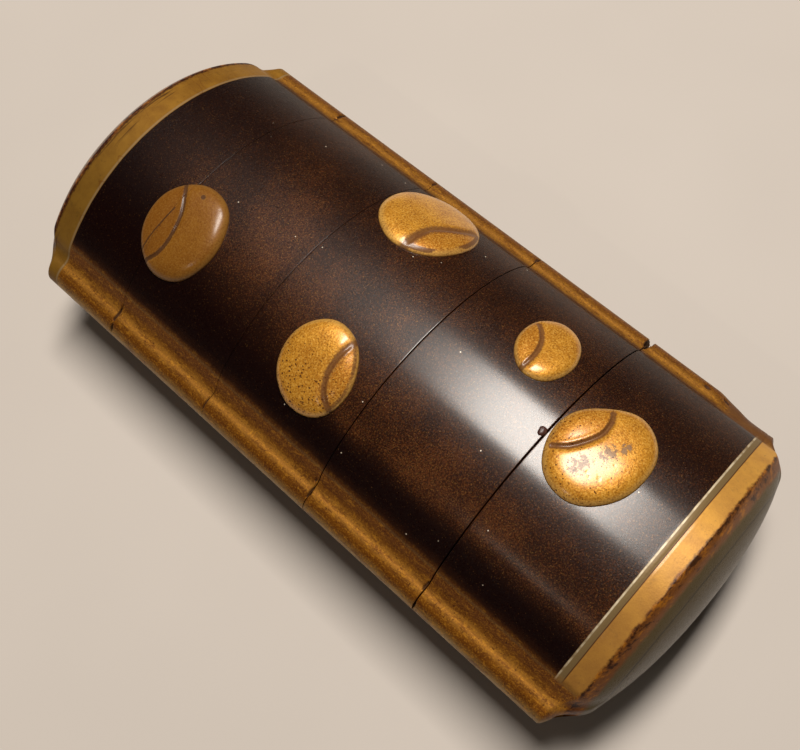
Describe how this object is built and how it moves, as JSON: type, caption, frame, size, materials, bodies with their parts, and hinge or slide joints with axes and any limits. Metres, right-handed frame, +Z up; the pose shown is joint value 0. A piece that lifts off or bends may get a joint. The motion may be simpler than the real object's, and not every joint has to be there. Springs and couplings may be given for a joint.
{
  "type": "inro case",
  "caption": "Small stacking inro case of lens-shaped section with a lifting lid, cord ridges at both sides and raised gold beans, lying on its back.",
  "frame": {"origin": "centre of the case's footprint, on the surface that it lies on", "axes": "+Y along the case towards the lid, +Z up out of the front face, +X across towards the right cord ridge"},
  "size_m": [0.044, 0.0944, 0.0248],
  "materials": {
    "dark_lacquer": "polished dark brown lacquer with fine metal speckle, on wood",
    "gold_lacquer": "worn gold powder lacquer, slightly pitted",
    "inner_lacquer": "plain satin lacquer on wood"
  },
  "bodies": {
    "root": {"bottom_case": "dark_lacquer", "lower_case": "dark_lacquer", "middle_case": "dark_lacquer", "upper_case": "dark_lacquer", "lid": "dark_lacquer"}
  },
  "joints": []
}
